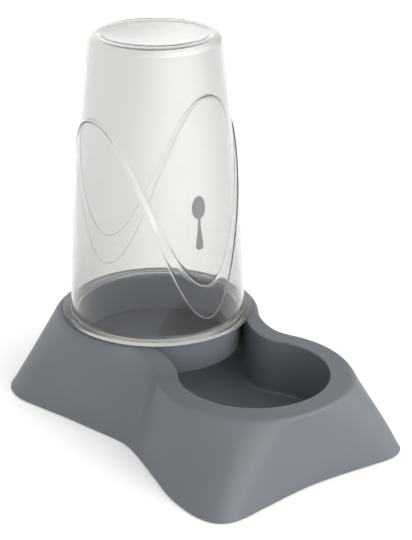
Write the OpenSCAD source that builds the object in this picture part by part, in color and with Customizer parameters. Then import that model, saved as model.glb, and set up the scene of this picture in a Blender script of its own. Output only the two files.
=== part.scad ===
// Gravity pet feeder: a one-piece moulded base with a food bowl, a clear
// upturned hopper that stands on it, the outlet collar snapped into the
// hopper's mouth, and four rubber feet. Millimetres, +Z up, bowl towards -Y.
// The origin is on the floor, at the middle of the whole outline.

/* [Base] */
// Radius of the round well under the hopper
well_r = 81; // [80.6:0.2:82]
// Radius of the food bowl
bowl_r = 66; // [62:0.5:70]
// Distance from the hopper's axis to the bowl's axis
lobe_gap = 144; // [140:1:150]
// Half the width of the passage between well and bowl
waist_half = 48; // [44:0.5:52]
// Outer radius of the flat rim round the hopper
seat_rim_r = 93.5; // [92:0.5:94]
// Outer radius of the flat rim round the bowl
bowl_rim_r = 86; // [83:0.5:87]
// Half the width of the rim's outer edge at the waist
waist_rim_half = 66.5; // [63:0.5:68]
// Height of the seat that carries the hopper
seat_z = 84.6; // [81:0.2:88]
// Height of the bowl's rim
bowl_rim_z = 74.4; // [71:0.2:78]
// Height of the bowl's floor
bowl_floor_z = 21.5; // [15:0.5:26]
// Height of the well's floor at the back of the ramp
well_floor_z = 47; // [38:0.5:48]
// Wall thickness of the moulded shell
wall = 2.6; // [2:0.1:3]
// Height of the skirt's lower edge above the floor
skirt_z = 1; // [0.6:0.1:1.6]
// Width of the rounding between rim and skirt
rim_round = 4.5; // [3:0.5:5]

/* [Hopper] */
// Outer radius of the hopper's flange
flange_r = 88; // [87:0.2:89]
// Thickness of the flange
flange_t = 4; // [3:0.2:5]
// Outer radius of the wall where it meets the flange
hopper_r = 80.7; // [80:0.1:81.5]
// Height of the closed top above the floor
hopper_top_z = 345.6; // [335:0.2:350]
// Wall thickness of the hopper
hopper_t = 2.2; // [1.8:0.1:2.4]
// Taper of the wall below the wave
lower_taper = 0.05; // [0.04:0.005:0.06]
// Taper of the wall above the wave
upper_taper = 0.107; // [0.1:0.001:0.112]
// Radius of the wall 4 mm under the top, before rounding
upper_r = 59; // [58:0.1:60]
// Depth of the step at the wave
wave_step = 2; // [1.4:0.1:2.4]
// Depth of the round recess in the closed top
recess_d = 8; // [5:0.5:9]
// Radius of the recess at the top
recess_r = 49.3; // [47:0.1:50]

/* [Collar] */
// Outer radius of the collar
collar_r = 77.7; // [77:0.1:78.4]
// Height of the collar's lower edge above the floor
collar_z = 52.4; // [51:0.2:57]
// Inner radius of the lip at the collar's lower edge
lip_r = 70.6; // [68:0.1:72]

/* [Feet] */
// Radius of a foot's pad
pad_r = 8; // [6:0.5:9]
// Radius of a foot's stem
stem_r = 2.9; // [2.5:0.1:3.2]

/* [Hidden] */
hopper_y = 64.1;
$fn = 96;

// Skirt outline on the floor, right half, from the back to the front:
// station along the rim's edge, x and y from the hopper's axis, and how far
// the skirt between rim and floor bulges (+) or hollows (-).
FLOOR = [
    [0.000,   0.0,  103.0, -0.05], [0.075,  39.0,  103.5, -0.05],
    [0.125,  74.5,  104.5, -0.05], [0.166, 100.0,   98.0, -0.05],
    [0.209, 115.0,   80.5, -0.03], [0.256, 119.0,   58.0, -0.02],
    [0.310, 113.5,   33.5, -0.02], [0.368, 105.0,    2.0, -0.02],
    [0.434,  96.5,  -34.5, -0.01], [0.490,  90.7,  -59.0,  0.00],
    [0.550,  88.7,  -76.0,  0.00], [0.600,  91.7,  -96.5,  0.02],
    [0.652,  96.8, -119.0,  0.03], [0.706, 102.8, -143.5,  0.06],
    [0.754, 108.0, -165.5,  0.13], [0.801, 110.3, -188.5,  0.20],
    [0.838, 108.8, -209.5,  0.24], [0.866, 101.5, -225.5,  0.24],
    [0.895,  86.3, -233.0,  0.16], [0.930,  62.5, -231.3,  0.06],
    [0.965,  31.0, -228.0,  0.03], [1.000,   0.0, -226.0,  0.00]];
FN = len(FLOOR) - 1;
// Corner feet, from the hopper's axis
foot_rear = [91, 82];
foot_front = [87, -213];

function clamp01(t) = min(1, max(0, t));
function smooth(t) = let (c = clamp01(t)) c * c * (3 - 2 * c);
function mix(a, b, t) = a + (b - a) * t;
function unit(v) = v / norm(v);
// Smallest of a and b with the corner between them rounded over k
function softmin(a, b, k) = let (h = clamp01(0.5 + 0.5 * (b - a) / k))
    mix(b, a, h) - k * h * (1 - h);

// The two round lobes and the fillet between them: radius r1 about the
// hopper's axis, r2 about the bowl's axis, half width w at the waist.
// Gives [fillet radius, fillet centre x, fillet centre y].
function neck(r1, r2, w) =
    let (a0 = (r2 * r2 - r1 * r1 - lobe_gap * lobe_gap) / (2 * lobe_gap),
         b0 = (r2 - r1) / lobe_gap,
         qa = b0 * b0, qb = 2 * (w + a0 * b0 - r1), qc = w * w + a0 * a0 - r1 * r1,
         rho = abs(qa) < 1e-9 ? -qc / qb : (-qb - sqrt(qb * qb - 4 * qa * qc)) / (2 * qa))
    [rho, w + rho, a0 + b0 * rho];

NK_IN = neck(well_r, bowl_r, waist_half);
NK_OUT = neck(seat_rim_r, bowl_rim_r, waist_rim_half);
A_HOP = atan2(NK_OUT[2], NK_OUT[1]);
A_BOWL = atan2(NK_OUT[2] + lobe_gap, NK_OUT[1]);

// Rim's outer edge on the right half at station s, and its outward normal
function rim_ang(s) = s <= 0.5 ? mix(90, A_HOP, s / 0.5)
    : s < 0.6 ? 180 + mix(A_HOP, A_BOWL, (s - 0.5) / 0.1)
    : mix(A_BOWL, -90, (s - 0.6) / 0.4);
function rim_xy(s) = let (a = rim_ang(s))
    s <= 0.5 ? seat_rim_r * [cos(a), sin(a)]
    : s < 0.6 ? [NK_OUT[1], NK_OUT[2]] + NK_OUT[0] * [cos(a), sin(a)]
    : [0, -lobe_gap] + bowl_rim_r * [cos(a), sin(a)];
function rim_n(s) = let (a = rim_ang(s))
    (s > 0.5 && s < 0.6) ? -[cos(a), sin(a)] : [cos(a), sin(a)];

// Height of the rim, falling from the hopper's seat to the bowl's rim
function rim_z(y) = mix(bowl_rim_z, seat_z, smooth((y + 107) / 54));
// Height of the floor: a ramp from the back of the well down to the bowl
function floor_z(y) = mix(bowl_floor_z, well_floor_z, smooth((y + 58) / 98));

// Skirt outline on the floor at station s, a smooth curve through FLOOR
function seg(s, i = 0) = (i >= FN - 1 || s < FLOOR[i + 1][0]) ? i : seg(s, i + 1);
function fp(i) = [FLOOR[i][1], FLOOR[i][2]];
function ft(i) = i == 0 ? [fp(1)[0] / FLOOR[1][0], 0]
    : i == FN ? [-fp(FN - 1)[0] / (1 - FLOOR[FN - 1][0]), 0]
    : (fp(i + 1) - fp(i - 1)) / (FLOOR[i + 1][0] - FLOOR[i - 1][0]);
function floor_xy(s) = let (i = seg(s), d = FLOOR[i + 1][0] - FLOOR[i][0],
        t = (s - FLOOR[i][0]) / d, t2 = t * t, t3 = t2 * t)
    (2 * t3 - 3 * t2 + 1) * fp(i) + (t3 - 2 * t2 + t) * d * ft(i)
    + (3 * t2 - 2 * t3) * fp(i + 1) + (t3 - t2) * d * ft(i + 1);

// Skirt at station s, from v = 0 at the rim's edge to v = 1 at the floor
function bulge(s) = let (i = seg(s)) mix(FLOOR[i][3], FLOOR[i + 1][3], (s - FLOOR[i][0]) / (FLOOR[i + 1][0] - FLOOR[i][0]));
function skirt_xy(s, v) = mix(rim_xy(s), floor_xy(s), v + bulge(s) * v * (1 - v));
function skirt_z_at(s, v) = mix(rim_z(rim_xy(s)[1]), skirt_z, v);
function skirt_n(s, v) = let (a = skirt_xy(max(0, s - 0.004), v), b = skirt_xy(min(1, s + 0.004), v),
        d = unit(b - a)) [-d[1], d[0]];
function with_z(p, z) = [p[0], p[1], z];

// Rings of the outer skin, from the cap's edge over the rounding and down
function skin_pt(s, k) =
    let (q = rim_xy(s), n = rim_n(s), c = q - rim_round * n,
         p0 = with_z(c, rim_z(c[1])), p1 = with_z(q, rim_z(q[1])),
         p2 = with_z(skirt_xy(s, 0.065), skirt_z_at(s, 0.065)))
    k <= 4 ? let (t = k / 4) (1 - t) * (1 - t) * p0 + 2 * t * (1 - t) * p1 + t * t * p2
    : let (v = mix(0.065, 1, (k - 4) / 6)) with_z(skirt_xy(s, v), skirt_z_at(s, v));
// Rings of the hollow under the skin
function void_pt(s, k) =
    let (q = rim_xy(s), n = rim_n(s))
    k == 0 ? let (c = q - (rim_round + 1.2) * n) with_z(c, rim_z(c[1]) - wall)
    : k == 1 ? let (c = q - (wall + 1) * n) with_z(c, rim_z(c[1]) - wall - 2)
    : k == 8 ? let (e = void_pt(s, 7)) [e[0], e[1], -3]
    : let (v = mix(0.1, 1, (k - 2) / 5), c = skirt_xy(s, v) + wall * skirt_n(s, v) * -1)
      with_z(c, skirt_z_at(s, v));

// Stations: hopper arc, fillet, bowl arc
STN = concat([for (i = [0 : 17]) 0.5 * i / 18], [for (i = [0 : 5]) 0.5 + 0.1 * i / 6],
             [for (i = [0 : 18]) 0.6 + 0.4 * i / 18]);
SK = len(STN) - 1;

// A closed skin, mirror-symmetric about X = 0: rings of points that run down
// the right half's stations and back up the left half's; each pair of
// opposite points shares its y and z, so the cap is made of flat strips. The
// lower end is a flat fan about a point under the waist.
function ring_all(pts) = concat(pts, [for (j = [SK - 1 : -1 : 1]) [-pts[j][0], pts[j][1], pts[j][2]]]);
module skin(rings) {
    n = 2 * SK;
    m = len(rings);
    cap = [for (j = [0 : SK - 1])
        let (r1 = j + 1, l0 = (n - j) % n, l1 = n - j - 1)
        j == 0 ? [j, r1, l1] : j == SK - 1 ? [j, r1, l0] : [j, r1, l1, l0]];
    polyhedron(
        points = concat([for (r = rings) each r], [[0, -0.53 * lobe_gap, rings[m - 1][0][2]]]),
        faces = concat(cap, [for (j = [0 : n - 1]) [m * n, (m - 1) * n + (j + 1) % n, (m - 1) * n + j]],
            [for (k = [0 : m - 2]) for (j = [0 : n - 1])
                let (a = k * n + j, b = k * n + (j + 1) % n) each [[a, b + n, b], [a, a + n, b + n]]]),
        convexity = 8);
}

// Plan of the well, the passage and the bowl, grown by e
module lobes(e) {
    circle(r = well_r + e);
    translate([0, -lobe_gap]) circle(r = bowl_r + e);
    difference() {
        polygon([[0, 0], [-NK_IN[1], NK_IN[2]], [0, -lobe_gap], [NK_IN[1], NK_IN[2]]]);
        for (s = [-1, 1]) translate([s * NK_IN[1], NK_IN[2]]) circle(r = NK_IN[0] - e + 0.03);
    }
}
// Everything below the floor curve lowered by e
module below_floor(e) {
    rotate([90, 0, 90]) linear_extrude(height = 220, center = true)
        polygon(concat([[-260, -20], [-260, floor_z(-260) - e]],
            [for (i = [0 : 12]) let (y = -58 + 98 * i / 12) [y, floor_z(y) - e]],
            [[140, floor_z(140) - e], [140, -20]]));
}
module at_feet() {
    for (s = [-1, 1], p = [foot_rear, foot_front]) translate([s * p[0], p[1], 0]) children();
}

module base() color([0.44, 0.46, 0.48]) translate([0, hopper_y, 0])
    difference() {
        skin([for (k = [0 : 10]) ring_all([for (s = STN) skin_pt(s, k)])]);
        difference() {
            skin([for (k = [0 : 8]) ring_all([for (s = STN) void_pt(s, k)])]);
            difference() {
                linear_extrude(height = 140) lobes(wall);
                below_floor(wall);
            }
            at_feet() translate([0, 0, 3]) cylinder(r = 6, h = 70);
        }
        difference() {
            linear_extrude(height = 140) lobes(0);
            below_floor(0);
        }
        at_feet() translate([0, 0, 2]) cylinder(r = 3, h = 7);
    }

// Hopper wall. The wave is two curves round the wall, low at the front and
// back and high at the sides; the wall steps in between them.
function wave_lo(a) = 201.4 + 86.8 * cos(2 * a) - 12.1 * cos(4 * a);
function wave_hi(a) = 214.4 + 72.7 * cos(2 * a) - 9.2 * cos(4 * a);
function r_mean(z) = softmin(upper_r + wave_step / 2 + upper_taper * (hopper_top_z - 4.2 - z),
    hopper_r - wave_step / 2 - lower_taper * (z - seat_z - flange_t - 1), 2);
function r_lower(z) = r_mean(z) + wave_step / 2;
function r_upper(z) = r_mean(z) - wave_step / 2;
LOW_N = 6;
HI_N = 7;
HC = 64;
zb = seat_z + 2;
zs = hopper_top_z - 10;
// Height and radius of ring k of the wall at angle a, moved inwards by t
function wall_zr(a, k, t) =
    let (zl = wave_lo(a) - 0.9 * t, zh = wave_hi(a) - 0.9 * t,
         z = k <= LOW_N ? mix(zb, zl, k / LOW_N) : k == LOW_N + 1 ? (zl + zh) / 2
             : mix(zh, zs, (k - LOW_N - 2) / HI_N),
         r = k <= LOW_N ? r_lower(z) : k == LOW_N + 1 ? (r_lower(zl) + r_upper(zh)) / 2 : r_upper(z))
    [z, r - t];
WN = LOW_N + 2 + HI_N;
// Closed top: outer skin from the wall over the shoulder into the recess,
// and the inside of the same, as [z, r]
sh = 8;
rs = r_upper(zs);
// Depth of the dished recess at share u of its radius
function dish(u) = recess_d * pow(max(0, 1 - pow(u, 2.4)), 0.6);
TOP_OUT = concat(
    [for (i = [1 : 4]) let (a = 90 * i / 4) [zs + (hopper_top_z - zs) * sin(a), rs - sh * (1 - cos(a))]],
    [[hopper_top_z, recess_r + 0.6], [hopper_top_z - 0.4, recess_r - 0.3]],
    [for (u = [0.96, 0.88, 0.76, 0.6, 0.4, 0.2]) [hopper_top_z - dish(u), recess_r * u]]);
TOP_IN = concat(
    [for (i = [1 : 3]) let (a = 90 * i / 3)
        [zs + (hopper_top_z - zs - hopper_t) * sin(a), rs - hopper_t - (sh - hopper_t * 0.6) * 0.6 * (1 - cos(a))]],
    [for (u = [0.98, 0.88, 0.76, 0.6, 0.4, 0.2]) [hopper_top_z - hopper_t - dish(u), (recess_r + 0.8) * u]]);
function hring(f) = [for (j = [0 : HC - 1]) let (a = 360 * j / HC, q = f(a)) [q[1] * cos(a), q[1] * sin(a), q[0]]];
module hopper_wall() {
    outer = concat([for (k = [0 : WN]) hring(function(a) wall_zr(a, k, 0))], [for (q = TOP_OUT) hring(function(a) q)]);
    inner = concat([for (k = [0 : WN]) hring(function(a) wall_zr(a, k, hopper_t))], [for (q = TOP_IN) hring(function(a) q)]);
    no = len(outer);
    ni = len(inner);
    bi = no * HC;
    co = (no + ni) * HC;
    polyhedron(
        points = concat([for (r = outer) each r], [for (r = inner) each r],
            [[0, 0, hopper_top_z - recess_d], [0, 0, hopper_top_z - recess_d - hopper_t]]),
        faces = concat(
            [for (k = [0 : no - 2]) for (j = [0 : HC - 1]) let (a = k * HC + j, b = k * HC + (j + 1) % HC)
                each [[a, b + HC, b], [a, a + HC, b + HC]]],
            [for (k = [0 : ni - 2]) for (j = [0 : HC - 1]) let (a = bi + k * HC + j, b = bi + k * HC + (j + 1) % HC)
                each [[a, b, b + HC], [a, b + HC, a + HC]]],
            [for (j = [0 : HC - 1]) let (a = j, b = (j + 1) % HC) each [[a, b, bi + b], [a, bi + b, bi + a]]],
            [for (j = [0 : HC - 1]) let (a = (no - 1) * HC) [co, a + (j + 1) % HC, a + j]],
            [for (j = [0 : HC - 1]) let (a = bi + (ni - 1) * HC) [co + 1, a + j, a + (j + 1) % HC]]),
        convexity = 6);
}
module hopper() color([0.86, 0.87, 0.86, 0.35]) translate([0, hopper_y, 0]) {
    hopper_wall();
    // Flange, and the short spigot that snaps into the groove in the collar's
    // top
    rotate_extrude() polygon([
        [74.3, seat_z], [74.3, seat_z + 1.2], [75.4, seat_z + flange_t], [flange_r - 0.9, seat_z + flange_t],
        [flange_r - 0.25, seat_z + flange_t - 0.25], [flange_r, seat_z + flange_t - 0.9],
        [flange_r, seat_z + 0.6], [flange_r - 0.6, seat_z], [76.4, seat_z], [76.4, seat_z - 2.4],
        [76.7, seat_z - 3], [76.7, seat_z - 3.8], [76.4, seat_z - 4.6], [76.2, seat_z - 6.2],
        [75.4, seat_z - 6.2], [75.4, seat_z]]);
}

module collar() color([0.38, 0.39, 0.41]) translate([0, hopper_y, 0])
    rotate_extrude() polygon([
        [76.5, seat_z - 0.05], [76.5, seat_z - 2.2], [76.8, seat_z - 2.8], [76.8, seat_z - 4],
        [76.5, seat_z - 4.8], [76.5, seat_z - 6.6], [75.3, seat_z - 6.6], [75.3, seat_z - 0.05],
        [74.3, seat_z - 0.05], [lip_r, collar_z + 0.9], [lip_r + 0.5, collar_z],
        [lip_r + 1.8, collar_z], [73.9, collar_z + 15], [75.8, collar_z + 15], [75.8, collar_z],
        [collar_r - 0.6, collar_z], [collar_r, collar_z + 0.6], [collar_r, seat_z - 0.05]]);

module foot() color([0.16, 0.16, 0.17])
    rotate_extrude($fn = 48) polygon([
        [0, 0], [pad_r - 0.8, 0], [pad_r - 0.25, 0.25], [pad_r, 0.8], [pad_r, 2.5], [pad_r - 0.5, 3],
        [stem_r, 3], [stem_r, 7.4], [stem_r - 0.6, 8], [0, 8]]);
module foot_rear_left() translate([-foot_rear[0], hopper_y + foot_rear[1], 0]) foot();
module foot_rear_right() translate([foot_rear[0], hopper_y + foot_rear[1], 0]) foot();
module foot_front_left() translate([-foot_front[0], hopper_y + foot_front[1], 0]) foot();
module foot_front_right() translate([foot_front[0], hopper_y + foot_front[1], 0]) foot();

base();
hopper();
collar();
foot_rear_left();
foot_rear_right();
foot_front_left();
foot_front_right();
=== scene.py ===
import math

import bmesh
import bpy
import numpy as np
from mathutils import Matrix, Vector


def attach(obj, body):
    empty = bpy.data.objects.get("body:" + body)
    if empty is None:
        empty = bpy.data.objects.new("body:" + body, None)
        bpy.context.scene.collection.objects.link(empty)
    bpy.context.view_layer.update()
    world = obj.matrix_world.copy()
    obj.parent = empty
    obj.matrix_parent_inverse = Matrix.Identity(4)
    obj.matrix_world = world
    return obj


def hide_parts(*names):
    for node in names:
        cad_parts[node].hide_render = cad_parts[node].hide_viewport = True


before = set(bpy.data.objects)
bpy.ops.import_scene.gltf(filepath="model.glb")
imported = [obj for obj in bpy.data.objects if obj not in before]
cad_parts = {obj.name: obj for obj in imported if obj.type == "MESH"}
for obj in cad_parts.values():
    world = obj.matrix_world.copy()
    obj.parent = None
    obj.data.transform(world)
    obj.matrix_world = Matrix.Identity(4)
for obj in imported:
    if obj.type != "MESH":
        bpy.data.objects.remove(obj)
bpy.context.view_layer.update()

# Every shape below is worked out in millimetres from the hopper's axis, with
# Z up from the floor and the bowl towards -Y, and put into the row's frame at
# the end.
HOPPER_Y = 64.1
MM = 0.001

# --------------------------------------------------------------- sizes
WELL_R, BOWL_R, GAP, WAIST = 81.0, 66.0, 144.0, 48.0
SEAT_RIM_R, BOWL_RIM_R, WAIST_RIM = 93.5, 86.0, 66.5
SEAT_Z, BOWL_RIM_Z, BOWL_FLOOR_Z, WELL_FLOOR_Z = 84.6, 74.4, 21.5, 47.0
WALL, SKIRT_Z, RIM_ROUND = 2.6, 1.0, 4.5
FLANGE_R, FLANGE_T, HOPPER_R, TOP_Z, HOPPER_T = 88.0, 4.0, 80.7, 345.6, 2.2
LOWER_TAPER, UPPER_TAPER, UPPER_R, WAVE_STEP = 0.05, 0.107, 59.0, 2.0
RECESS_D, RECESS_R = 8.0, 49.3
COLLAR_R, COLLAR_Z, LIP_R = 77.7, 52.4, 70.6
PAD_R, STEM_R = 8.0, 2.9
FOOT_REAR, FOOT_FRONT = (91.0, 82.0), (87.0, -213.0)

# station along the rim's edge, x, y on the floor, bulge of the skirt
FLOOR = np.array([
    [0.000, 0.0, 103.0, -0.05], [0.075, 39.0, 103.5, -0.05],
    [0.125, 74.5, 104.5, -0.05], [0.166, 100.0, 98.0, -0.05],
    [0.209, 115.0, 80.5, -0.03], [0.256, 119.0, 58.0, -0.02],
    [0.310, 113.5, 33.5, -0.02], [0.368, 105.0, 2.0, -0.02],
    [0.434, 96.5, -34.5, -0.01], [0.490, 90.7, -59.0, 0.00],
    [0.550, 88.7, -76.0, 0.00], [0.600, 91.7, -96.5, 0.02],
    [0.652, 96.8, -119.0, 0.03], [0.706, 102.8, -143.5, 0.06],
    [0.754, 108.0, -165.5, 0.13], [0.801, 110.3, -188.5, 0.20],
    [0.838, 108.8, -209.5, 0.24], [0.866, 101.5, -225.5, 0.24],
    [0.895, 86.3, -233.0, 0.16], [0.930, 62.5, -231.3, 0.06],
    [0.965, 31.0, -228.0, 0.03], [1.000, 0.0, -226.0, 0.00]])


def smooth(t):
    c = np.clip(t, 0, 1)
    return c * c * (3 - 2 * c)


def neck(r1, r2, w):
    a0 = (r2 * r2 - r1 * r1 - GAP * GAP) / (2 * GAP)
    b0 = (r2 - r1) / GAP
    qa, qb, qc = b0 * b0, 2 * (w + a0 * b0 - r1), w * w + a0 * a0 - r1 * r1
    rho = -qc / qb if abs(qa) < 1e-9 else (-qb - math.sqrt(qb * qb - 4 * qa * qc)) / (2 * qa)
    return rho, w + rho, a0 + b0 * rho


def lobe(s, r1, r2, w):
    """Points and outward normals of a two-lobe outline at stations s."""
    rho, xf, yf = neck(r1, r2, w)
    ah = math.degrees(math.atan2(yf, xf))
    ab = math.degrees(math.atan2(yf + GAP, xf))
    s = np.asarray(s, float)
    a = np.radians(np.where(s <= 0.5, 90 + (ah - 90) * (s / 0.5),
                            np.where(s < 0.6, 180 + ah + (ab - ah) * (s - 0.5) / 0.1,
                                     ab + (-90 - ab) * (s - 0.6) / 0.4)))
    c = np.stack([np.cos(a), np.sin(a)], -1)
    m1, m2 = (s <= 0.5)[..., None], (s < 0.6)[..., None]
    xy = np.where(m1, r1 * c, np.where(m2, np.array([xf, yf]) + rho * c, np.array([0, -GAP]) + r2 * c))
    return xy, np.where(m1, c, np.where(m2, -c, c))


def through(s, K):
    """A smooth curve through the rows of K (station, x, y), square to the
    middle line at both ends."""
    S, V = K[:, 0], K[:, 1:]
    m = np.zeros_like(V)
    m[1:-1] = (V[2:] - V[:-2]) / (S[2:] - S[:-2])[:, None]
    m[0, 0], m[-1, 0] = V[1, 0] / S[1], -V[-2, 0] / (1 - S[-2])
    i = np.clip(np.searchsorted(S, s, side="right") - 1, 0, len(S) - 2)
    d = S[i + 1] - S[i]
    t = (s - S[i]) / d
    t2, t3 = t * t, t * t * t
    d, t, t2, t3 = (q[..., None] for q in (d, t, t2, t3))
    return ((2 * t3 - 3 * t2 + 1) * V[i] + (t3 - 2 * t2 + t) * d * m[i]
            + (3 * t2 - 2 * t3) * V[i + 1] + (t3 - t2) * d * m[i + 1])


def rim_z(y):
    return BOWL_RIM_Z + (SEAT_Z - BOWL_RIM_Z) * smooth((y + 107) / 54)


def floor_z(y):
    return BOWL_FLOOR_Z + (WELL_FLOOR_Z - BOWL_FLOOR_Z) * smooth((y + 58) / 98)


# --------------------------------------------------------------- mesh help
def place(v):
    v = np.asarray(v, float).copy()
    v[:, 1] += HOPPER_Y
    return v * MM


def make(name, verts, faces, smooth_faces=True):
    me = bpy.data.meshes.new(name)
    me.from_pydata([tuple(p) for p in place(verts)], [], faces)
    bm = bmesh.new()
    bm.from_mesh(me)
    bmesh.ops.remove_doubles(bm, verts=bm.verts, dist=1e-7)
    bmesh.ops.recalc_face_normals(bm, faces=bm.faces)
    if bm.calc_volume(signed=True) < 0:
        bmesh.ops.reverse_faces(bm, faces=bm.faces)
    for f in bm.faces:
        f.smooth = smooth_faces
    bm.to_mesh(me)
    bm.free()
    ob = bpy.data.objects.new(name, me)
    bpy.context.scene.collection.objects.link(ob)
    return ob


def rounded(points, n=5):
    """A polyline of (x, z, radius) corners with each corner rounded."""
    out = []
    for i, (x, z, r) in enumerate(points):
        p = np.array([x, z], float)
        if r <= 0 or i in (0, len(points) - 1):
            out.append(p)
            continue
        a = np.array(points[i - 1][:2], float) - p
        b = np.array(points[i + 1][:2], float) - p
        la, lb = np.linalg.norm(a), np.linalg.norm(b)
        a, b = a / la, b / lb
        half = math.acos(max(-1, min(1, float(a @ b)))) / 2
        d = min(r / math.tan(half), la * 0.49, lb * 0.49)
        q0, q1 = p + a * d, p + b * d
        for k in range(n + 1):
            t = k / n
            # close to a circular arc for the angles used here
            w = 1 / math.sin(half) if half > 0.2 else 1
            c0, c1, c2 = (1 - t) ** 2, 2 * t * (1 - t) * math.sin(half), t * t
            out.append((c0 * q0 + c1 * p + c2 * q1) / (c0 + c1 + c2))
    return np.array(out)


def rings_mesh(rings, pole_a=None, pole_b=None, cyclic=False):
    """Quads between rings of equal length, with fans to the poles."""
    n = len(rings[0])
    verts = np.concatenate(rings)
    faces = []
    m = len(rings)
    for k in range(m if cyclic else m - 1):
        a, b = k * n, ((k + 1) % m) * n
        for j in range(n):
            i = (j + 1) % n
            faces.append((a + j, a + i, b + i, b + j))
    extra = []
    for pole, k in ((pole_a, 0), (pole_b, m - 1)):
        if pole is not None:
            c = len(verts) + len(extra)
            extra.append(pole)
            faces += [(c, k * n + j, k * n + (j + 1) % n) for j in range(n)]
    if extra:
        verts = np.concatenate([verts, np.array(extra)])
    return verts, faces


def lathe(name, profile, n, centre=(0, 0), closed=False):
    """Turns a profile of (r, z) about a vertical axis. A profile that isn't
    closed starts and ends on the axis."""
    a = np.arange(n) * 2 * math.pi / n
    body = profile if closed else profile[1:-1]
    rings = [np.stack([centre[0] + r * np.cos(a), centre[1] + r * np.sin(a), np.full(n, z)], 1) for r, z in body]
    poles = (None, None) if closed else ([centre[0], centre[1], profile[0][1]], [centre[0], centre[1], profile[-1][1]])
    v, f = rings_mesh(rings, *poles, cyclic=closed)
    return make(name, v, f)


# --------------------------------------------------------------- base
NS = 190
ST = np.concatenate([np.linspace(0, 0.5, 91)[:-1], np.linspace(0.5, 0.6, 23)[:-1], np.linspace(0.6, 1, 79)])
NS = len(ST) - 1


def full(right):
    """The whole loop from its right half."""
    left = right[1:-1][::-1].copy()
    left[:, 0] *= -1
    return np.vstack([right, left])


def xyz(xy, z):
    return np.column_stack([xy, np.broadcast_to(z, len(xy))])


def skirt(v):
    xy, n = lobe(ST, SEAT_RIM_R, BOWL_RIM_R, WAIST_RIM)
    g = through(ST, FLOOR[:, :3])
    b = np.interp(ST, FLOOR[:, 0], FLOOR[:, 3])
    w = v + b * v * (1 - v)
    p = xy + (g - xy) * w[:, None]
    p[:, 1] = np.maximum(p[:, 1], -232.95)
    return xyz(p, rim_z(xy[:, 1]) * (1 - v) + SKIRT_Z * v)


def skirt_normal(v):
    p = full(skirt(v))[:, :2]
    d = np.roll(p, -1, axis=0) - np.roll(p, 1, axis=0)
    d /= np.linalg.norm(d, axis=1)[:, None]
    n = np.column_stack([-d[:, 1], d[:, 0]])[:NS + 1]
    n[0], n[NS] = (0, 1), (0, -1)
    return n


def inner(e, z):
    """Ring of the opening's outline shrunk by e."""
    xy, _ = lobe(ST, WELL_R - e, BOWL_R - e, WAIST - e)
    return xyz(xy, z(xy[:, 1]))


def sheet_cap(verts, faces, ring_start, ring, columns, z):
    """Closes a loop with rows that run straight across the middle line."""
    n = len(ring)
    grid = []
    for j in range(1, NS):
        r, l = ring[j], ring[n - j]
        row = [ring_start + j]
        for c in range(1, columns):
            p = r + (l - r) * (c / columns)
            p[2] = z(p[1])
            row.append(len(verts))
            verts.append(p)
        row.append(ring_start + n - j)
        grid.append(row)
    for c in range(columns):
        faces.append((ring_start, grid[0][c], grid[0][c + 1]))
        faces.append((ring_start + NS, grid[-1][c + 1], grid[-1][c]))
    for a, b in zip(grid, grid[1:]):
        for c in range(columns):
            faces.append((a[c], a[c + 1], b[c + 1], b[c]))


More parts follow.
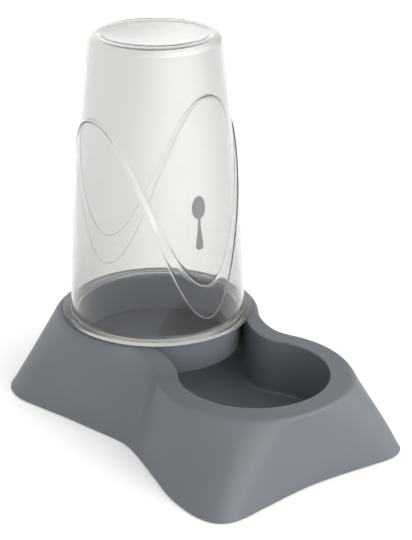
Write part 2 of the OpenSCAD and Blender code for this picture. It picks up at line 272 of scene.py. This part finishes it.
def build_base():
    EDGE, FIL = 1.3, 2.8
    rings = []
    # up out of the floor: fillet, wall, rounded inner edge
    for t in np.linspace(90, 0, 9):
        c, s = math.cos(math.radians(t)), math.sin(math.radians(t))
        rings.append(inner(FIL * (1 - c), lambda y: floor_z(y) + FIL * (1 - s)))
    for t in (0.03, 0.15, 0.35, 0.55, 0.75, 0.9, 0.98):
        rings.append(inner(0, lambda y: (floor_z(y) + FIL) * (1 - t) + (rim_z(y) - EDGE) * t))
    for t in np.linspace(0, 90, 7):
        c, s = math.cos(math.radians(t)), math.sin(math.radians(t))
        rings.append(inner(-EDGE * (1 - c), lambda y: rim_z(y) - EDGE * (1 - s)))
    # the flat rim
    q, nq = lobe(ST, SEAT_RIM_R, BOWL_RIM_R, WAIST_RIM)
    crease = q - RIM_ROUND * nq
    edge = rings[-1][:, :2]
    for t in (0.06, 0.3, 0.6, 0.88):
        xy = edge + (crease - edge) * t
        rings.append(xyz(xy, rim_z(xy[:, 1])))
    # the rounding, and the skirt down to the floor
    p0, p1, p2 = xyz(crease, rim_z(crease[:, 1])), xyz(q, rim_z(q[:, 1])), skirt(0.065)
    for t in np.linspace(0, 1, 11):
        rings.append((1 - t) ** 2 * p0 + 2 * t * (1 - t) * p1 + t * t * p2)
    for v in np.linspace(0.065, 0.985, 25)[1:]:
        rings.append(skirt(v))
    foot, nf = skirt(1.0), skirt_normal(1.0)
    for t in np.linspace(0, 90, 5)[:]:
        c, s = math.cos(math.radians(t)), math.sin(math.radians(t))
        xy = foot[:, :2] - 0.7 * (1 - c) * nf
        rings.append(xyz(xy, SKIRT_Z + 0.7 * (1 - s)))
    for t in np.linspace(90, 0, 4):
        c, s = math.cos(math.radians(t)), math.sin(math.radians(t))
        xy = foot[:, :2] - (WALL - 0.5 * (1 - c)) * nf
        rings.append(xyz(xy, SKIRT_Z + 0.5 * (1 - s)))
    # underneath: inside of the skirt, under the rim, round the cup
    for v in np.linspace(0.97, 0.1, 18):
        p, n = skirt(v), skirt_normal(v)
        rings.append(xyz(p[:, :2] - WALL * n, p[:, 2]))
    for d, h in ((WALL + 1, 2.0), (RIM_ROUND + 1.2, 0.0)):
        xy = q - d * nq
        rings.append(xyz(xy, rim_z(xy[:, 1]) - WALL - h))
    cup = inner(-WALL - 1.0, lambda y: rim_z(y) - WALL)
    rings.append(cup)
    for t in (0.0, 0.1, 0.4, 0.7, 1.0):
        rings.append(inner(-WALL, lambda y: (rim_z(y) - WALL - 1.0) * (1 - t) + (floor_z(y) + FIL) * t))
    big = FIL + WALL
    for t in np.linspace(0, 90, 7)[1:]:
        c, s = math.cos(math.radians(t)), math.sin(math.radians(t))
        rings.append(inner(-WALL + big * (1 - c), lambda y: floor_z(y) - WALL + big * (1 - s)))
    rings = [full(r) for r in rings]
    n = len(rings[0])
    verts, faces = rings_mesh(rings)
    verts = list(verts)
    sheet_cap(verts, faces, 0, rings[0], 26, floor_z)
    sheet_cap(verts, faces, (len(rings) - 1) * n, rings[-1], 26, lambda y: floor_z(y) - WALL)
    shell = make("base_shell", np.array(verts), faces)

    # bosses for the feet, run up into the skirt
    V = np.concatenate([skirt(v) for v in np.linspace(0.1, 1, 90)])
    bosses = []
    for x, y in (FOOT_REAR, FOOT_FRONT):
        for side in (-1, 1):
            m = 44
            a = np.arange(m) * 2 * math.pi / m
            def top(px, py):
                k = np.argmin((V[:, 0] - px) ** 2 + (V[:, 1] - py) ** 2)
                return V[k, 2] - 2.2
            rim = [(x + 6 * math.cos(t), y + 6 * math.sin(t)) for t in a]
            prof = [(3.0, 9.0), (3.0, 3.6), (3.6, 3.0), (5.4, 3.0), (6.0, 3.6)]
            rings = [np.stack([x + r * np.cos(a), y + r * np.sin(a), np.full(m, z)], 1) for r, z in prof]
            rings.append(np.array([(px, py, top(px, py)) for px, py in rim]))
            v, f = rings_mesh(rings, [x, y, 9.0], [x, y, top(x, y)])
            v[:, 0] *= side
            bosses.append(make("boss", v, f))
    union(shell, bosses)
    return shell


def union(target, others):
    for o in others:
        mod = target.modifiers.new("join", "BOOLEAN")
        mod.operation, mod.object, mod.solver = "UNION", o, "EXACT"
    bpy.context.view_layer.update()
    dg = bpy.context.evaluated_depsgraph_get()
    me = bpy.data.meshes.new_from_object(target.evaluated_get(dg))
    target.modifiers.clear()
    old = target.data
    target.data = me
    bpy.data.meshes.remove(old)
    for p in me.polygons:
        p.use_smooth = True
    for o in others:
        bpy.data.objects.remove(o)


# --------------------------------------------------------------- hopper
HC = 408
ANG = np.arange(HC) * 2 * math.pi / HC


def softmin(a, b, k):
    h = np.clip(0.5 + 0.5 * (b - a) / k, 0, 1)
    return b + (a - b) * h - k * h * (1 - h)


def wave_lo(a):
    return 201.4 + 86.8 * np.cos(2 * a) - 12.1 * np.cos(4 * a)


def wave_hi(a):
    return 214.4 + 72.7 * np.cos(2 * a) - 9.2 * np.cos(4 * a)


def r_mean(z):
    return softmin(UPPER_R + WAVE_STEP / 2 + UPPER_TAPER * (TOP_Z - 4.2 - z),
                   HOPPER_R - WAVE_STEP / 2 - LOWER_TAPER * (z - SEAT_Z - FLANGE_T - 1), 2)


def step_share(t):
    """How much of the wave's step is done at share t of the band: a ramp
    with short rounded ends."""
    e = 0.06
    t = np.clip(t, 0, 1)
    y = np.where(t < e, t * t / (2 * e), np.where(t > 1 - e, 1 - e - (1 - t) ** 2 / (2 * e), t - e / 2))
    return y / (1 - e)


BEAD_H, BEAD_W = 0.33, 0.75


def steep(wave):
    """Length of the wave's line for one millimetre of height, a column."""
    d = 1e-3
    slope = (wave(ANG + d) - wave(ANG - d)) / (2 * d) / HOPPER_R
    return np.sqrt(1 + slope * slope)


def wall_rows(t):
    """Rows of the hopper's wall, offset inwards by t: lists of (z, r), one
    value a column. Outside, a fine raised line runs along each edge of the
    wave."""
    zb, zs = SEAT_Z + FLANGE_T + 1.6, TOP_Z - 10
    zl, zh = wave_lo(ANG) - 0.9 * t, wave_hi(ANG) - 0.9 * t
    ql, qh = steep(wave_lo), steep(wave_hi)
    wl, wh = (np.minimum(BEAD_W, 0.36 * (zh - zl) / q) * q for q in (ql, qh))

    def ridge(z, z0, w):
        d = np.clip((z - z0) / w, -1, 1)
        return (BEAD_H if t == 0 else 0.0) * np.cos(d * math.pi / 2) ** 2

    def row(z):
        u = (z - zl) / (zh - zl)
        return z, r_mean(z) + WAVE_STEP / 2 - WAVE_STEP * step_share(u) - t + ridge(z, zl, wl) + ridge(z, zh, wh)

    rows = [row(zb + (zl - wl - zb) * u) for u in list(np.linspace(0, 0.94, 15)) + [0.98]]
    rows += [row(zl + wl * k) for k in (-1, -0.75, -0.5, -0.25, 0, 0.25, 0.5, 0.75, 1)]
    rows += [row(zl + wl + (zh - wh - zl - wl) * u) for u in (0.25, 0.5, 0.75)]
    rows += [row(zh + wh * k) for k in (-1, -0.75, -0.5, -0.25, 0, 0.25, 0.5, 0.75, 1)]
    rows += [row(zh + wh + (zs - zh - wh) * u) for u in [0.02] + list(np.linspace(0.06, 1, 18))]
    return rows


def round_rows(points):
    return [(np.full(HC, z), np.full(HC, r)) for r, z in points]


def dish(u):
    """Depth of the dished recess in the top at share u of its radius."""
    return RECESS_D * max(0.0, 1 - u ** 2.4) ** 0.6


def soft_edge(r0, grow, u=0.88):
    """The recess's edge: (r, depth) from the top's flat ring at r0 into the
    dish at share u, with no crease at either end."""
    r1 = (RECESS_R + grow) * u
    slope = (dish(u - 0.001) - dish(u + 0.001)) / (0.002 * (RECESS_R + grow))
    out = []
    for t in np.linspace(0, 1, 10)[1:]:
        h = dish(u) * t * t * (3 - 2 * t) + slope * (r0 - r1) * (t ** 3 - t ** 2)
        out.append((r0 + (r1 - r0) * t, float(h)))
    return out


def build_hopper():
    s = SEAT_Z
    wall_r = float(r_mean(s + FLANGE_T + 1.6) + WAVE_STEP / 2)
    low = rounded([
        (75.4, s - 6.2, 0), (76.2, s - 6.2, 0.2), (76.4, s - 4.6, 0.3), (76.7, s - 3.8, 0.3), (76.7, s - 3.0, 0.3),
        (76.4, s - 2.4, 0.2), (76.4, s + 0.04, 0.2), (FLANGE_R - 0.02, s + 0.04, 0.9),
        (FLANGE_R, s + FLANGE_T, 1.0), (wall_r + 0.03, s + FLANGE_T, 1.3), (wall_r, s + FLANGE_T + 1.6, 0)], 4)[:-1]
    zs = TOP_Z - 10
    rs = float(r_mean(zs) - WAVE_STEP / 2)
    sh = 8.0
    out = [(rs - sh * (1 - math.cos(a)), zs + 10 * math.sin(a)) for a in np.radians(np.linspace(0, 90, 13))[1:]]
    out += [(r, TOP_Z - h) for r, h in soft_edge(rs - sh, 0.0)]
    us = [0.84, 0.79, 0.72, 0.63, 0.53, 0.42, 0.3, 0.18, 0.06]
    out += [(RECESS_R * u, TOP_Z - dish(u)) for u in us]
    ins = [(rs - HOPPER_T - (sh - HOPPER_T) * (1 - math.cos(a)), zs + (10 - HOPPER_T) * math.sin(a))
           for a in np.radians(np.linspace(0, 90, 11))[1:]]
    top_in = TOP_Z - HOPPER_T
    ins += [(r, top_in - h) for r, h in soft_edge(rs - sh, 0.8)]
    ins += [((RECESS_R + 0.8) * u, top_in - dish(u)) for u in us]
    foot_in = rounded([
        (wall_r - HOPPER_T, s + FLANGE_T + 1.6, 0), (wall_r - HOPPER_T, s + FLANGE_T, 0.6), (75.4, s + FLANGE_T, 0.8),
        (74.3, s + 1.2, 0.8), (74.3, s + 0.04, 0.2), (75.4, s + 0.04, 0.1), (75.4, s - 6.2, 0)], 4)[1:-1]
    rows = round_rows(low) + wall_rows(0) + round_rows(out)
    inside = wall_rows(HOPPER_T) + round_rows(ins)
    rows_in = inside[::-1] + round_rows(foot_in)
    c, sn = np.cos(ANG), np.sin(ANG)
    ring = lambda q: np.stack([q[1] * c, q[1] * sn, q[0]], 1)
    A = [ring(q) for q in rows]
    B = [ring(q) for q in rows_in]
    n = HC
    verts = np.concatenate(A + B + [np.array([[0, 0, TOP_Z - RECESS_D], [0, 0, TOP_Z - RECESS_D - HOPPER_T]])])
    faces = []
    def band(a, b):
        for j in range(n):
            i = (j + 1) % n
            faces.append((a + j, a + i, b + i, b + j))
    for k in range(len(A) - 1):
        band(k * n, (k + 1) * n)
    off = len(A) * n
    for k in range(len(B) - 1):
        band(off + k * n, off + (k + 1) * n)
    band(off + (len(B) - 1) * n, 0)
    p = len(verts) - 2
    for j in range(n):
        i = (j + 1) % n
        faces.append((p, (len(A) - 1) * n + j, (len(A) - 1) * n + i))
        faces.append((p + 1, off + i, off + j))
    return make("hopper_clear", verts, faces)


def build_spoon():
    """The printed pictogram: a thin layer that follows the hopper's front."""
    centre = math.radians(-95.0)
    z0, z1 = 167.2, 216.2
    head_z, head_h, head_w = 205.8, 10.4, 6.7
    zz, ww = [], []
    for z in np.linspace(z0, z1, 90):
        u = (z - z0) / (z1 - z0)
        end = math.sqrt(max(0.0, 1 - max(0.0, (z0 + 3.4 - z) / 3.4) ** 2)) if z < z0 + 3.4 else 1.0
        handle = (1.25 + 2.6 * (1 - smooth((z - z0) / 27.0))) * end
        d = (z - head_z) / head_h
        bowl = head_w * math.sqrt(max(0.0, 1 - d * d)) * (1 - 0.06 * d) if abs(d) < 1 else 0.0
        k = 1.6
        w = max(handle, bowl) if min(handle, bowl) <= 0 else math.log(math.exp(handle / k * 2) + math.exp(bowl / k * 2)) * k / 2
        w = w if z < head_z else bowl
        if z < z0 + 3.4:
            w = handle
        zz.append(z)
        ww.append(max(w, 0.02))
    cols = 14
    rows = []
    for layer in (0.10, 0.02):
        grid = []
        for z, w in zip(zz, ww):
            r = float(r_mean(np.array(z)) - WAVE_STEP / 2) + layer
            x = np.linspace(-w, w, cols + 1)
            a = centre + x / r
            grid.append(np.stack([r * np.cos(a), r * np.sin(a), np.full(cols + 1, z)], 1))
        rows.append(np.array(grid))
    R, C = rows[0].shape[:2]
    verts = np.concatenate([rows[0].reshape(-1, 3), rows[1].reshape(-1, 3)])
    idx = lambda l, i, j: l * R * C + i * C + j
    faces = []
    for i in range(R - 1):
        for j in range(C - 1):
            faces.append((idx(0, i, j), idx(0, i, j + 1), idx(0, i + 1, j + 1), idx(0, i + 1, j)))
            faces.append((idx(1, i, j + 1), idx(1, i, j), idx(1, i + 1, j), idx(1, i + 1, j + 1)))
        for j in (0, C - 1):
            faces.append((idx(0, i, j), idx(0, i + 1, j), idx(1, i + 1, j), idx(1, i, j)))
    for j in range(C - 1):
        for i in (0, R - 1):
            faces.append((idx(0, i, j), idx(0, i, j + 1), idx(1, i, j + 1), idx(1, i, j)))
    return make("spoon_print", verts, faces)


def build_collar():
    s = SEAT_Z
    prof = rounded([
        (75.9, s - 6.6, 0), (76.5, s - 6.6, 0.2), (76.5, s - 4.8, 0.2), (76.8, s - 4.0, 0.2), (76.8, s - 2.8, 0.2),
        (76.5, s - 2.2, 0.2), (76.5, s - 0.05, 0.2), (COLLAR_R, s - 0.05, 0.4),
        (COLLAR_R, s - 20, 0), (COLLAR_R, COLLAR_Z, 0.8), (75.8, COLLAR_Z, 0.3), (75.8, COLLAR_Z + 15, 0.5),
        (73.9, COLLAR_Z + 15, 0.5), (LIP_R + 1.9, COLLAR_Z, 0.3), (LIP_R, COLLAR_Z, 0.7), (LIP_R + 0.6, COLLAR_Z + 6, 0),
        (LIP_R + 2.4, s - 10, 0), (74.3, s - 0.05, 0.25), (75.3, s - 0.05, 0.2),
        (75.3, s - 6.6, 0.2), (75.9, s - 6.6, 0)], 4)[:-1]
    return lathe("collar_ring", [tuple(p) for p in prof], 200, closed=True)


def build_foot(name, x, y):
    prof = rounded([
        (0, 0.25, 0), (3.4, 0.25, 0.2), (3.8, 0.0, 0.2), (PAD_R, 0, 0.9), (PAD_R, 3.0, 0.5), (STEM_R, 3.0, 0.2),
        (STEM_R, 8.0, 0.6), (0, 8.0, 0)], 4)
    return lathe(name, [tuple(p) for p in prof], 64, centre=(x, y))


base = build_base()
base.name = "base_moulded"
hopper = build_hopper()
collar = build_collar()
spoon = build_spoon()
feet = {
    "foot_rear_left": build_foot("pad_rear_left", -FOOT_REAR[0], FOOT_REAR[1]),
    "foot_rear_right": build_foot("pad_rear_right", FOOT_REAR[0], FOOT_REAR[1]),
    "foot_front_left": build_foot("pad_front_left", -FOOT_FRONT[0], FOOT_FRONT[1]),
    "foot_front_right": build_foot("pad_front_right", FOOT_FRONT[0], FOOT_FRONT[1]),
}


# --------------------------------------------------------------- materials
def new_material(name):
    m = bpy.data.materials.new(name)
    m.use_nodes = True
    nt = m.node_tree
    return m, nt, nt.nodes["Principled BSDF"]


def noise(nt, scale, detail=3.0, rough=0.5, coords=None):
    n = nt.nodes.new("ShaderNodeTexNoise")
    n.inputs["Scale"].default_value = scale
    n.inputs["Detail"].default_value = detail
    n.inputs["Roughness"].default_value = rough
    nt.links.new(coords, n.inputs["Vector"])
    return n.outputs["Fac"]


def object_coords(nt):
    return nt.nodes.new("ShaderNodeTexCoord").outputs["Object"]


def remap(nt, value, low, high, a=0.3, b=0.7):
    r = nt.nodes.new("ShaderNodeMapRange")
    r.inputs["From Min"].default_value, r.inputs["From Max"].default_value = a, b
    r.inputs["To Min"].default_value, r.inputs["To Max"].default_value = low, high
    nt.links.new(value, r.inputs["Value"])
    return r.outputs["Result"]


def two_colours(nt, value, c0, c1, a=0.3, b=0.7):
    r = nt.nodes.new("ShaderNodeValToRGB")
    r.color_ramp.elements[0].position, r.color_ramp.elements[1].position = a, b
    r.color_ramp.elements[0].color, r.color_ramp.elements[1].color = (*c0, 1), (*c1, 1)
    nt.links.new(value, r.inputs["Fac"])
    return r.outputs["Color"]


def bump(nt, p, height, strength, distance):
    b = nt.nodes.new("ShaderNodeBump")
    b.inputs["Strength"].default_value = strength
    b.inputs["Distance"].default_value = distance
    nt.links.new(height, b.inputs["Height"])
    nt.links.new(b.outputs["Normal"], p.inputs["Normal"])


def shade(c, k):
    return tuple(x * k for x in c)


def moulded(name, colour, rough, grain):
    m, nt, p = new_material(name)
    co = object_coords(nt)
    nt.links.new(two_colours(nt, noise(nt, 14, 4, 0.6, co), shade(colour, 0.97), shade(colour, 1.03)), p.inputs["Base Color"])
    nt.links.new(remap(nt, noise(nt, 30, 3, 0.6, co), rough - 0.03, rough + 0.04), p.inputs["Roughness"])
    bump(nt, p, noise(nt, 1900, 2, 0.6, co), grain, 0.00006)
    p.inputs["IOR"].default_value = 1.46
    p.inputs["Specular IOR Level"].default_value = 0.4
    return m


def clear_plastic():
    m, nt, p = new_material("clear_plastic")
    co = object_coords(nt)
    nt.links.new(two_colours(nt, noise(nt, 9, 3, 0.5, co), (0.742, 0.743, 0.728), (0.762, 0.763, 0.748)), p.inputs["Base Color"])
    nt.links.new(remap(nt, noise(nt, 25, 3, 0.5, co), 0.02, 0.05), p.inputs["Roughness"])
    p.inputs["Transmission Weight"].default_value = 0.97
    p.inputs["IOR"].default_value = 1.5
    # The reflections are dimmed to about half and tinted blue: a painted bluish cast on the hopper and on the well
    # seen through it.
    p.inputs["Specular Tint"].default_value = (0.42, 0.46, 0.55, 1)
    v = nt.nodes.new("ShaderNodeVolumeAbsorption")
    v.inputs["Color"].default_value = (0.50, 0.51, 0.50, 1)
    v.inputs["Density"].default_value = 42.0
    nt.links.new(v.outputs[0], next(n for n in nt.nodes if n.type == "OUTPUT_MATERIAL").inputs["Volume"])
    return m


def ink():
    m, nt, p = new_material("print_ink")
    co = object_coords(nt)
    nt.links.new(two_colours(nt, noise(nt, 700, 2, 0.5, co), (0.130, 0.130, 0.133), (0.150, 0.150, 0.153)), p.inputs["Base Color"])
    nt.links.new(remap(nt, noise(nt, 900, 2, 0.5, co), 0.5, 0.62), p.inputs["Roughness"])
    p.inputs["Specular IOR Level"].default_value = 0.25
    bump(nt, p, noise(nt, 2500, 2, 0.5, co), 0.2, 0.00003)
    return m


def rubber():
    m, nt, p = new_material("foot_rubber")
    co = object_coords(nt)
    nt.links.new(two_colours(nt, noise(nt, 300, 3, 0.6, co), (0.03, 0.03, 0.032), (0.042, 0.042, 0.044)), p.inputs["Base Color"])
    nt.links.new(remap(nt, noise(nt, 500, 3, 0.6, co), 0.72, 0.86), p.inputs["Roughness"])
    bump(nt, p, noise(nt, 3000, 2, 0.6, co), 0.5, 0.00008)
    return m


mat_base = moulded("base_plastic", (0.0915, 0.1020, 0.1135), 0.46, 0.35)
# The collar's grey is the base's own grey made a little lighter and bluer; the lift and the blue are painted fill
# light, standing in for brighter, bluish light inside the well.
mat_collar_painted_light = moulded("collar_plastic", (0.096, 0.108, 0.122), 0.44, 0.35)
mat_clear = clear_plastic()
mat_ink = ink()
mat_rubber = rubber()


def settle(obj, mat, slot, *nodes):
    obj.data.materials.clear()
    obj.data.materials.append(mat)
    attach(obj, "root")
    if nodes:
        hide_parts(*nodes)


settle(base, mat_base, "base_plastic", "base")
settle(hopper, mat_clear, "clear_plastic", "hopper")
settle(collar, mat_collar_painted_light, "collar_plastic", "collar")
settle(spoon, mat_ink, "print_ink")
for node, obj in feet.items():
    settle(obj, mat_rubber, "foot_rubber", node)

# --------------------------------------------------------------- studio
def build_floor():
    me = bpy.data.meshes.new("studio_floor")
    k, h = 24, 9.0
    v = [(-h + 2 * h * i / k, -h + 2 * h * j / k, 0.0) for j in range(k + 1) for i in range(k + 1)]
    f = [(j * (k + 1) + i, j * (k + 1) + i + 1, (j + 1) * (k + 1) + i + 1, (j + 1) * (k + 1) + i)
         for j in range(k) for i in range(k)]
    me.from_pydata(v, [], f)
    ob = bpy.data.objects.new("studio_floor", me)
    bpy.context.scene.collection.objects.link(ob)
    m, nt, p = new_material("studio_floor")
    co = object_coords(nt)
    nt.links.new(two_colours(nt, noise(nt, 3, 2, 0.5, co), (0.955, 0.955, 0.955), (0.965, 0.965, 0.965)), p.inputs["Base Color"])
    p.inputs["Roughness"].default_value = 0.9
    p.inputs["Specular IOR Level"].default_value = 0.0
    me.materials.append(m)


build_floor()

# The studio: bright white walls at the front and front right, dimmer ones
# behind, a dark flag at the right, a soft lamp high up behind, and a ceiling
# that is dimmer still.
GLOW_BASE, GLOW_FALL, GLOW_GAIN = 1.30, 0.80, 1.09
GLOWS = (((0.490, -0.836, 0.247), 3.7, 4.8), ((-0.112, -0.989, -0.100), 2.2, 2.26),
         ((0.981, 0.173, 0.087), -0.95, 3.0), ((0.446, 0.715, 0.538), 0.7, 5.0))

world = bpy.data.worlds.new("studio")
bpy.context.scene.world = world
world.use_nodes = True
wt = world.node_tree


def maths(op, a, b=None):
    n = wt.nodes.new("ShaderNodeMath")
    n.operation = op
    for i, v in enumerate((a, b)):
        if v is None:
            continue
        if isinstance(v, (int, float)):
            n.inputs[i].default_value = v
        else:
            wt.links.new(v, n.inputs[i])
    return n.outputs[0]


way = wt.nodes.new("ShaderNodeTexCoord").outputs["Generated"]
apart = wt.nodes.new("ShaderNodeSeparateXYZ")
wt.links.new(way, apart.inputs[0])
glow = None
for towards, gain, tight in GLOWS:
    dot = wt.nodes.new("ShaderNodeVectorMath")
    dot.operation = "DOT_PRODUCT"
    wt.links.new(way, dot.inputs[0])
    dot.inputs[1].default_value = Vector(towards).normalized()
    e = maths("EXPONENT", maths("MULTIPLY", maths("SUBTRACT", dot.outputs["Value"], 1.0), tight))
    e = maths("MULTIPLY", e, gain)
    glow = e if glow is None else maths("ADD", glow, e)
fall = maths("EXPONENT", maths("MULTIPLY", maths("MAXIMUM", apart.outputs["Z"], 0.0), -GLOW_FALL))
total = maths("MULTIPLY", maths("MULTIPLY", maths("ADD", glow, GLOW_BASE), fall), GLOW_GAIN)
sky = wt.nodes["Background"]
sky.inputs["Color"].default_value = (1.0, 1.0, 1.0, 1)
wt.links.new(total, sky.inputs["Strength"])


# a long narrow soft lamp over the floor behind the part
def strip_lamp(name, middle, along, width, length, height, watts, spread):
    d = bpy.data.lights.new(name, "AREA")
    d.shape, d.size, d.size_y = "RECTANGLE", width, length
    d.energy, d.spread = watts, math.radians(spread)
    ob = bpy.data.objects.new(name, d)
    ob.location = (middle[0], middle[1], height)
    ob.rotation_euler = (0, 0, math.radians(along - 90))
    bpy.context.scene.collection.objects.link(ob)
    ob.visible_camera = False
    ob.visible_glossy = False
    ob.visible_transmission = False


strip_lamp("strip_behind", (0.590, 0.822), 53.5, 0.12, 1.8, 1.6, 0.34, 5.0)


# camera at the photograph's viewing angle
AZ, EL, ROLL = math.radians(-36.921), math.radians(22.568), math.radians(0.207)
back = Vector((math.sin(AZ) * math.cos(EL), -math.cos(AZ) * math.cos(EL), math.sin(EL)))
right = Vector((math.cos(AZ), math.sin(AZ), 0))
up = back.cross(right)
right, up = (right * math.cos(ROLL) + up * math.sin(ROLL), up * math.cos(ROLL) - right * math.sin(ROLL))
cam_data = bpy.data.cameras.new("camera")
cam_data.sensor_fit = "AUTO"
cam_data.sensor_width = 36.0
cam_data.lens = 1468.70 * 36.0 / 540.0
cam = bpy.data.objects.new("camera", cam_data)
eye = Vector((-39.193, -126.904 + HOPPER_Y, 173.611)) * MM + back * 1.2229
cam.matrix_world = Matrix((
    (right.x, up.x, back.x, eye.x),
    (right.y, up.y, back.y, eye.y),
    (right.z, up.z, back.z, eye.z),
    (0, 0, 0, 1)))
cam_data.clip_start, cam_data.clip_end = 0.01, 60.0
bpy.context.scene.collection.objects.link(cam)
bpy.context.scene.camera = cam
bpy.context.scene.view_settings.view_transform = "Standard"
